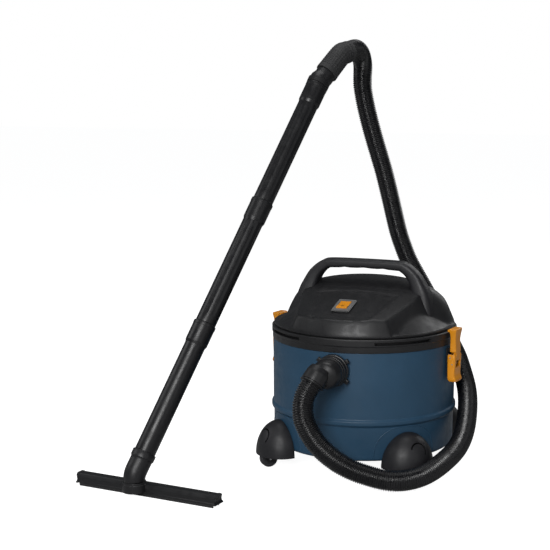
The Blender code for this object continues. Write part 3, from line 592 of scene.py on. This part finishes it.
def make_nozzle(black):
    """The bar with its rounded top, lips and hollowed ends, and the collar that takes the elbow."""
    turn = Matrix.Rotation(NOZZLE_TURN, 4, "Z")
    collar = Vector((WAND_FOOT.x, WAND_FOOT.y, 0))
    offset = turn.inverted() @ (NOZZLE_MIDDLE - collar)
    deep = 0.013
    outline = rounded([(-deep, 0.0050, 0.0008), (deep, 0.0050, 0.0008), (deep, 0.0075, 0.0006),
                       (deep - 0.0012, 0.0085, 0.0006), (deep - 0.0012, 0.0150, 0.003),
                       (deep - 0.0055, 0.0228, 0.004), (-deep + 0.0055, 0.0228, 0.004),
                       (-deep + 0.0012, 0.0150, 0.003), (-deep + 0.0012, 0.0085, 0.0006),
                       (-deep, 0.0075, 0.0006)], 5)
    half = NOZZLE_LENGTH / 2
    sections = []
    for end in (-half, -half + 0.0006, -half + 0.0045, -half + 0.0050,
                half - 0.0050, half - 0.0045, half - 0.0006, half):
        edge = half - abs(end)
        swell = (1.0 if edge < 0.0048 else 0.94) * (0.96 if edge == 0 else 1.0)
        sections.append([(end + offset.x, y * swell + offset.y, deep + (z - deep) * swell)
                         for y, z in outline])
    bar = bare("nozzle_bar", lofted(sections), at(collar, turn), sharp=30)
    slot = block((NOZZLE_LENGTH - 0.020, 0.010, 0.014), (offset.x, offset.y, 0.0085))
    carve(bar, slot, at(collar, turn))
    for side in (-1, 1):
        scoop = turned([(0, -0.02), (0.0078, -0.02), (0.0078, 0.02), (0, 0.02)], 40)
        place = Vector((offset.x + side * (half + 0.0050), offset.y, 0.0125))
        carve(bar, scoop, at(collar, turn) @ Matrix.Translation(place) @ facing((0, 1, 0)), sharp=30)
    ring = rounded([(0.0156, 0.008, 0), (0.0208, 0.008, 0), (0.0208, 0.0216, 0.0006),
                    (0.0198, 0.0222, 0.0004), (0.0198, 0.0254, 0.0010), (0.0156, 0.0254, 0.0006)], 4)
    carve(bar, turned(ring, 72), at(collar, turn), "UNION", 30)
    dress(bar, black, "nozzle", "black_plastic", "nozzle_body")


# ---------------------------------------------------------------- feet and casters
def foot_dome(radial, across, high, rows=18, columns=72):
    """A closed half ellipsoid, flat side down."""
    bm = bmesh.new()
    loops = []
    for i in range(rows):
        lift = math.radians(90) * i / rows
        ring = []
        for k in range(columns):
            a = 2 * math.pi * k / columns
            x, y = radial * math.cos(lift) * math.cos(a), across * math.cos(lift) * math.sin(a)
            ring.append(bm.verts.new((x, y, high * math.sin(lift))))
        loops.append(ring)
    join_loops(bm, loops, capped=False)
    bm.faces.new(loops[0])
    top = bm.verts.new((0, 0, high))
    for k in range(columns):
        bm.faces.new((loops[-1][k], loops[-1][(k + 1) % columns], top))
    return bm


def make_foot(side, angle, grey, wheel_material):
    """The foot's dome with its caster pocket and crescent groove, and the caster's wheel."""
    turn = spin(angle - 90)
    foot_frame = at((0, 0, 0), turn)
    dome_place = foot_frame @ Matrix.Translation((FOOT_R, 0, FOOT_BOTTOM_Z))
    foot = bare(f"fairing_{side}", foot_dome(0.0438, 0.0488, 0.0618), dome_place)
    inside = turned([(0, -0.01), (TUB_R + 0.0004, -0.01), (TUB_R + 0.0004, 0.1000), (0, 0.1000)], 200)
    carve(foot, inside, at((0, 0, 0)))
    pocket = turned([(0, 0.010), (0.0255, 0.010), (0.0255, 0.0385), (0.0045, 0.0385), (0.0045, 0.062),
                     (0, 0.062)], 48)
    carve(foot, pocket, foot_frame @ Matrix.Translation((CASTER_R, 0, 0)))
    outward = Vector((0.80, 0.10, 0.60)).normalized()
    boss = Vector((FOOT_R + 0.0315, 0.0040, FOOT_BOTTOM_Z + 0.0330))
    groove = [(0.0128, -0.006), (0.0156, -0.006), (0.0156, 0.010), (0.0128, 0.010)]
    crescent = turned(groove, 64)
    bmesh.ops.bisect_plane(crescent, geom=crescent.verts[:] + crescent.edges[:] + crescent.faces[:],
                           plane_co=(0.002, 0, 0), plane_no=(1, -0.35, 0), clear_outer=True)
    bmesh.ops.holes_fill(crescent, edges=crescent.edges)
    carve(foot, crescent, foot_frame @ Matrix.Translation(boss) @ facing(outward), sharp=32)
    eased(foot, 0.0006, 2, 40)
    dress(foot, grey, "root", "dark_grey", f"foot_{side}")
    half = 0.0072
    tyre = rounded([(0.0023, -half + 0.0010, 0), (0.0090, -half + 0.0010, 0), (0.0100, -half, 0.0004),
                    (WHEEL_R, -half, 0.0028), (WHEEL_R, half, 0.0028), (0.0100, half, 0.0004),
                    (0.0090, half - 0.0010, 0), (0.0023, half - 0.0010, 0)], 6)
    hub = foot_frame @ Matrix.Translation((CASTER_R + CASTER_TRAIL, 0, WHEEL_R)) @ facing((0, 1, 0))
    wheel = bare(f"roller_{side}", turned(tyre, 72), hub)
    dress(wheel, wheel_material, f"wheel_{side}", "wheel_grey", f"caster_wheel_{side}")


# ---------------------------------------------------------------- head
def smooth_min(a, b, softness):
    h = max(0.0, min(1.0, 0.5 + 0.5 * (b - a) / softness))
    return b + (a - b) * h - softness * h * (1 - h)


def cover_height(x, y, soft=0.006):
    """The cover's outer surface: a low shoulder all round, and a raised hood with a sloping front panel."""
    r = math.hypot(x, y)
    shoulder = smooth_min(0.2535 + (COVER_R - r) * 0.70, 0.284, soft)
    dome = COVER_Z + DOME_H * math.sqrt(max(0.0, 1 - (r / COVER_R) ** 2.9))
    dome = smooth_min(dome, 0.265 + (0.166 - r) * 2.3, 0.006)
    panel = 0.289 + (y + 0.140) * PANEL_SLOPE
    edge = 0.057 + (y + 0.140) * 0.222
    crease = 0.084 + (y + 0.130) * 0.255
    chamfer = panel - (abs(x) - edge) * 0.22
    side = panel - (crease - edge) * 0.22 - (abs(x) - crease) * 2.0
    wall = 0.285 + (y + 0.157) * 1.9
    front = smooth_min(smooth_min(panel, chamfer, 0.002), smooth_min(wall, side, soft), soft)
    hood = smooth_min(dome, front, soft) if y < 0.04 else dome
    blend = max(0.0, min(1.0, (y + 0.02) / 0.06))
    hood = hood * (1 - blend) + dome * blend
    return max(COVER_Z + 0.0045, -smooth_min(-shoulder, -hood, soft))


def make_rim(black):
    """The ring that sits on the tub, with four long exhaust slots in its proud band."""
    outline = rounded([(0.1640, 0.2299, 0), (0.1710, 0.2299, 0.0006), (0.1710, 0.2408, 0.0008),
                       (0.1722, 0.2422, 0.0008), (0.1722, 0.2442, 0), (0.1722, 0.2443, 0),
                       (0.1722, 0.2493, 0), (0.1722, 0.2494, 0), (0.1722, 0.2526, 0.0008),
                       (0.1705, 0.2540, 0.0005),
                       (0.1500, 0.2540, 0), (0.1500, 0.2510, 0), (0.1600, 0.2510, 0), (0.1600, 0.2380, 0)], 4)

    def slotted(index, radius, z, angle):
        degrees = math.degrees(angle)
        inside = any(abs((degrees - middle + 180) % 360 - 180) < SLOT_HALF_ANGLE for middle in SLOT_MIDDLES)
        return 0.1640 if inside and radius > 0.172 and 0.24425 < z < 0.24935 else radius

    band = turned(outline, 360, slotted)
    plate = turned(rounded([(0.022, 0.2362, 0.0005), (0.1595, 0.2362, 0), (0.1595, 0.2220, 0.001),
                            (0.1625, 0.2220, 0.001), (0.1625, 0.2362, 0), (0.1640, 0.2362, 0),
                            (0.1640, 0.2390, 0), (0.022, 0.2390, 0.0005)], 3), 160)
    rim = bare("head_rim", gathered((band, Matrix.Identity(4)), (plate, Matrix.Identity(4))), sharp=30)
    dress(rim, black, "head", "head_black", "head_base")


def panel_dish(x, y):
    """How far the front panel is sunk below its ridges."""
    beside = 0.057 + (y + 0.140) * 0.222 - abs(x)
    inside = min(beside, (y + 0.153) * 0.8, (-0.026 - y - 2.2 * x * x) * 0.8)
    return PANEL_DISH * max(0.0, min(1.0, inside / 0.005))


def make_cover(black):
    """The cover's surface as rings from its edge to the middle, on an upright edge."""
    ring_count, segments = 64, 288
    turns = [2 * math.pi * k / segments for k in range(segments)]
    bm = bmesh.new()
    loops = [[bm.verts.new((COVER_R * math.sin(a), -COVER_R * math.cos(a), COVER_Z)) for a in turns]]
    for i in range(ring_count):
        ring = COVER_R * (1 - (i / ring_count) ** 1.12)
        loop = []
        for a in turns:
            x, y = ring * math.sin(a), -ring * math.cos(a)
            loop.append(bm.verts.new((x, y, cover_height(x, y, 0.0035) - panel_dish(x, y))))
        loops.append(loop)
    join_loops(bm, loops, capped=False)
    middle = bm.verts.new((0, 0, cover_height(0, 0)))
    for k in range(segments):
        bm.faces.new((loops[-1][k], loops[-1][(k + 1) % segments], middle))
    cover = bare("motor_cover", bm, sharp=40)
    dress(cover, black, "head", "head_black", "head_cover")
    thickness = cover.modifiers.new("wall", "SOLIDIFY")
    thickness.thickness = 0.0028
    thickness.offset = -1


def make_handle(grey):
    """The carrying loop, with finger ridges along the underside of its bar."""
    line = [(-0.119, -0.002, 0.262), (-0.112, 0.0, 0.304), (-0.103, 0.0, 0.330), (-0.094, 0.0, 0.3460),
            (-0.078, 0.0, 0.3600), (-0.056, 0.0, 0.3647), (0.056, 0.0, 0.3647), (0.078, 0.0, 0.3600),
            (0.094, 0.0, 0.3460), (0.103, 0.0, 0.330), (0.112, 0.0, 0.304), (0.119, -0.002, 0.262)]
    wide = [0.025, 0.022, 0.018, 0.016, 0.015, 0.015, 0.015, 0.015, 0.016, 0.018, 0.022, 0.025]
    thick = [0.0200, 0.0175, 0.0140, 0.0118, 0.0098, 0.0090, 0.0090, 0.0098, 0.0118, 0.0140, 0.0175, 0.0200]
    steps = 10
    path = smooth_path([Vector(p) for p in line], steps)
    sizes = smooth_path([Vector((w, t, 0)) for w, t in zip(wide, thick)], steps)
    sections = []
    for i, (point, size) in enumerate(zip(path, sizes)):
        along = (path[min(i + 1, len(path) - 1)] - path[max(i - 1, 0)]).normalized()
        inward = FORWARD.cross(along).normalized() * -1
        grip = max(0.0, 1 - (point.x / 0.052) ** 8)
        ridge = 0.0016 * grip * (0.5 + 0.5 * math.cos(2 * math.pi * point.x / 0.0195))
        section = []
        for k in range(40):
            t = 2 * math.pi * k / 40
            u = math.copysign(abs(math.cos(t)) ** 0.55, math.cos(t))
            v = math.copysign(abs(math.sin(t)) ** 0.62, math.sin(t))
            depth = v * size.y * 0.985 - ridge * max(0.0, v)
            section.append(point + Vector((0, 1, 0)) * (u * size.x * 0.985) + inward * depth)
        sections.append(section)
    handle = bare("handle_loop", lofted(sections), sharp=45)
    dress(handle, grey, "head", "dark_grey", "carry_handle")


# ---------------------------------------------------------------- latches
def latch_part(sections):
    """A lofted upright bar. Each section is (z, inner radius, outer radius, half width, corner)."""
    loops = []
    for z, inner, outer, half, corner in sections:
        outline = rounded([(inner, -half, corner), (outer, -half, corner), (outer, half, corner),
                           (inner, half, corner)], 5)
        loops.append([(r, y, z) for r, y in outline])
    return lofted(loops)


def make_latch(side, angle, yellow):
    """The claw with its flared top and narrow neck, over the lever with its curled finger end."""
    turn = Matrix.Rotation(angle, 4, "Z")
    claw = latch_part([(0.2020, 0.1830, 0.1890, 0.0090, 0.0012), (0.2150, 0.1830, 0.1893, 0.0093, 0.0012),
                       (0.2185, 0.1776, 0.1894, 0.0128, 0.0020), (0.2300, 0.1776, 0.1886, 0.0122, 0.0024),
                       (0.2400, 0.1776, 0.1880, 0.0126, 0.0026), (0.2500, 0.1778, 0.1890, 0.0142, 0.0026),
                       (0.2560, 0.1760, 0.1898, 0.0160, 0.0024), (0.2590, 0.1750, 0.1898, 0.0164, 0.0022),
                       (0.2600, 0.1762, 0.1888, 0.0154, 0.0020)])
    claw = bare(f"hook_{side}", claw, at((0, 0, 0), turn), sharp=34)
    nose = block((0.0055, 0.0280, 0.0040), (0.1757, 0, 0.2565), 0.0006)
    carve(claw, nose, at((0, 0, 0), turn), "UNION", 34)
    dress(claw, yellow, f"claw_{side}", "orange_yellow", f"latch_claw_{side}")

    lever = latch_part([(0.1632, 0.1800, 0.1890, 0.0120, 0.0030), (0.1640, 0.1775, 0.1912, 0.0150, 0.0036),
                        (0.1665, 0.1755, 0.1916, 0.0165, 0.0040), (0.1700, 0.1748, 0.1906, 0.0169, 0.0036),
                        (0.1730, 0.1746, 0.1890, 0.0168, 0.0034), (0.1790, 0.1745, 0.1884, 0.0166, 0.0032),
                        (0.1900, 0.1745, 0.1890, 0.0165, 0.0030), (0.2050, 0.1745, 0.1895, 0.0166, 0.0030),
                        (0.2110, 0.1745, 0.1894, 0.0166, 0.0030), (0.2138, 0.1750, 0.1880, 0.0158, 0.0026)])
    lever = bare(f"toggle_{side}", lever, at((0, 0, 0), turn), sharp=34)
    back = block((0.0165, 0.0274, 0.0470), (0.1778, 0, 0.2000))
    carve(lever, back, at((0, 0, 0), turn), sharp=34)
    notch = block((0.0200, 0.0192, 0.0400), (0.1900, 0, 0.2080))
    carve(lever, notch, at((0, 0, 0), turn), sharp=34)
    tongue = latch_part([(0.1780, 0.1858, 0.1882, 0.0090, 0.0008), (0.1900, 0.1858, 0.1886, 0.0094, 0.0008)])
    carve(lever, tongue, at((0, 0, 0), turn), "UNION", 34)
    for level in (0.1668, 0.1692, 0.1716):
        groove = block((0.0012, 0.0250, 0.0009), (0.1916, 0, level))
        carve(lever, groove, at((0, 0, 0), turn), sharp=34)
    dress(lever, yellow, f"lever_{side}", "orange_yellow", f"latch_lever_{side}")


# ---------------------------------------------------------------- switch
def make_switch(orange, ink):
    """The rocker, with a dished face and a plain on and off mark. The bezel is the CAD's own."""
    tilt = Matrix.Rotation(math.atan(PANEL_SLOPE), 4, "X")
    place = at((SWITCH_X, SWITCH_Y, cover_height(SWITCH_X, SWITCH_Y)), tilt)
    half = 0.0148
    face = [(-half, -0.0060, 0), (half, -0.0060, 0), (half, 0.0044, 0.0008), (0.0, 0.0044, 0.0100),
            (-half, 0.0062, 0.0010)]
    outline = rounded(face, 8)
    sections = [[(x, y, z) for y, z in outline] for x in (-0.0099, -0.0090, 0.0090, 0.0099)]
    rocker = bare("rocker_cap", lofted(sections), place)
    eased(rocker, 0.0005)
    dress(rocker, orange, "rocker", "orange_yellow", "power_rocker")
    bar = block((0.0008, 0.0050, 0.0004), (0, 0.0070, 0.0033), 0.0001)
    ring = turned([(0.0020, -0.0002), (0.0028, -0.0002), (0.0028, 0.0002), (0.0020, 0.0002)], 40)
    lean = Matrix.Rotation(-0.13, 4, "X")
    marks = gathered((bar, Matrix.Rotation(-0.135, 4, "X") @ Matrix.Translation((0, 0.0, 0.0010))),
                     (ring, Matrix.Translation((0, -0.0075, 0.0055)) @ lean))
    symbol = bare("rocker_marks", marks, place)
    dress(symbol, ink, "rocker", "orange_yellow")


# ---------------------------------------------------------------- light, floor and camera
def make_studio():
    world = bpy.data.worlds.new("studio")
    bpy.context.scene.world = world
    world.use_nodes = True
    tree = world.node_tree
    seen = tree.nodes["Background"]
    seen.inputs["Color"].default_value = (1, 1, 1, 1)
    dim = tree.nodes.new("ShaderNodeBackground")
    dim.inputs["Color"].default_value = (0.9, 0.95, 1, 1)
    dim.inputs["Strength"].default_value = 0.10
    rays = tree.nodes.new("ShaderNodeLightPath")
    mix = tree.nodes.new("ShaderNodeMixShader")
    link(tree, rays.outputs["Is Camera Ray"], mix.inputs["Fac"])
    link(tree, dim.outputs["Background"], mix.inputs[1])
    link(tree, seen.outputs["Background"], mix.inputs[2])
    link(tree, mix.outputs["Shader"], tree.nodes["World Output"].inputs["Surface"])
    bpy.ops.mesh.primitive_plane_add(size=60, location=(0, 0, 0))
    floor = bpy.context.object
    floor.name = "floor"
    paint = bpy.data.materials.new("floor")
    paint.use_nodes = True
    shader = paint.node_tree.nodes["Principled BSDF"]
    shader.inputs["Base Color"].default_value = (0.45, 0.45, 0.45, 1)
    shader.inputs["Roughness"].default_value = 0.9
    shader.inputs["Specular IOR Level"].default_value = 0.0
    shader.inputs["Emission Color"].default_value = (1, 1, 1, 1)
    glow = paint.node_tree.nodes.new("ShaderNodeMath")
    glow.operation = "MULTIPLY"
    glow.inputs[1].default_value = 0.95
    seen_floor = paint.node_tree.nodes.new("ShaderNodeLightPath")
    link(paint.node_tree, seen_floor.outputs["Is Camera Ray"], glow.inputs[0])
    link(paint.node_tree, glow.outputs["Value"], shader.inputs["Emission Strength"])
    floor.data.materials.append(paint)
    for name, place, size, power in (("key", (0.3, -2.6, 1.5), 1.1, 60), ("side", (-2.1, -0.6, 1.5), 1.2, 9),
                                     ("fill", (2.2, -1.2, 1.0), 1.4, 5), ("top", (0.0, 0.2, 2.6), 1.4, 20),
                                     ("rear", (0.8, 2.4, 1.6), 1.4, 12)):
        lamp = bpy.data.lights.new(name, "AREA")
        lamp.size = size
        lamp.energy = power
        obj = bpy.data.objects.new(name, lamp)
        bpy.context.collection.objects.link(obj)
        obj.location = place
        obj.rotation_euler = (Vector((0.05, 0.05, 0.25)) - Vector(place)).to_track_quat("-Z", "Y").to_euler()


def make_camera():
    """Stands 2.2 m in front of the vacuum and 18 degrees to its right, looking 12 degrees down."""
    data = bpy.data.cameras.new("camera")
    camera = bpy.data.objects.new("camera", data)
    bpy.context.collection.objects.link(camera)
    camera.location = (0.7736, -1.9466, 0.6455)
    look = Vector((-0.3024, 0.9306, -0.2061))
    level = look.to_track_quat("-Z", "Y").to_matrix().to_4x4()
    roll = Matrix.Rotation(0.0104, 4, "Z")
    camera.matrix_world = Matrix.Translation(camera.location) @ level @ roll
    data.sensor_width = 36
    data.lens = 76.55
    data.shift_x = -0.1621
    data.shift_y = 0.1455
    bpy.context.scene.camera = camera


def main():
    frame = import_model()
    nodes = frame["nodes"]

    blue = moulded("tub_blue", (0.019, 0.058, 0.106), 0.46, grain=900, grain_depth=0.00005, mottle=0.06,
                   specular=0.35)
    head_black = moulded("head_black", (0.010, 0.010, 0.011), 0.44, grain=1600, specular=0.4)
    black = moulded("black_plastic", (0.008, 0.008, 0.009), 0.42, specular=0.4)
    tube_black = moulded("tube_black", (0.007, 0.007, 0.008), 0.36, grain_depth=0.00002, specular=0.35)
    hose_black = moulded("hose_black", (0.004, 0.004, 0.005), 0.28, grain_depth=0.00002, specular=0.5)
    rubber = moulded("black_rubber", (0.016, 0.016, 0.017), 0.70, grain=900, grain_depth=0.0001)
    dark_grey = moulded("dark_grey", (0.012, 0.012, 0.014), 0.48, grain=1600, specular=0.4)
    wheel_grey = moulded("wheel_grey", (0.022, 0.022, 0.025), 0.60)
    bezel_grey = moulded("bezel_grey", (0.130, 0.130, 0.130), 0.45)
    yellow = moulded("orange_yellow", (0.720, 0.270, 0.006), 0.36, mottle=0.05)
    ivory = moulded("ivory_plastic", (0.620, 0.610, 0.540), 0.45)
    foam = sponge("foam", (0.045, 0.045, 0.050))
    steel = moulded("steel", (0.500, 0.500, 0.510), 0.30, metallic=1.0)
    aluminium = moulded("aluminium", (0.600, 0.610, 0.620), 0.38, metallic=1.0, grain=600)
    copper = moulded("copper", (0.500, 0.190, 0.080), 0.35, metallic=1.0, grain=300, grain_depth=0.0002)
    ink = moulded("mark_dark", (0.120, 0.060, 0.010), 0.5)

    by_slot = {"tub_blue": blue, "head_black": head_black, "black_plastic": black, "tube_black": tube_black,
               "hose_black": hose_black, "black_rubber": rubber, "dark_grey": dark_grey,
               "wheel_grey": wheel_grey, "bezel_grey": bezel_grey, "orange_yellow": yellow,
               "ivory_plastic": ivory, "foam": foam, "steel": steel, "aluminium": aluminium, "copper": copper}
    for part in frame["record"]["subparts"]:
        for held in nodes[part["node"]].material_slots:
            held.material = by_slot[part["material_slot"]]
    for name in ("switch_housing", "cable_gland", "latch_bracket_right", "latch_bracket_left",
                 "squeegee_front", "squeegee_rear", *(f"caster_fork_{side}" for side in FEET)):
        eased(nodes[name])

    hose = hose_line()
    make_hose(hose_black, hose)
    make_camera()
    make_tub(blue)
    make_inlet(black)
    make_elbow(black, hose)
    make_wand(tube_black)
    make_wand_elbow(black)
    make_grip(black, rubber, hose)
    make_nozzle(black)
    for side, angle in FEET.items():
        make_foot(side, angle, dark_grey, wheel_grey)
    make_rim(head_black)
    make_cover(head_black)
    make_handle(dark_grey)
    make_switch(yellow, ink)
    for side, angle in (("right", LATCH_TURN), ("left", LATCH_TURN + math.pi)):
        make_latch(side, angle, yellow)
    sleeve = turned(rounded([(0.0464, 0.1562, 0.001), (0.0558, 0.1562, 0.003), (0.0558, 0.2338, 0.003),
                             (0.0464, 0.2338, 0.001)], 5), 96)
    dress(bare("foam_sleeve", sleeve), foam, "head", "foam", "foam_filter")
    make_studio()
    bpy.context.scene.view_settings.view_transform = "Standard"


main()
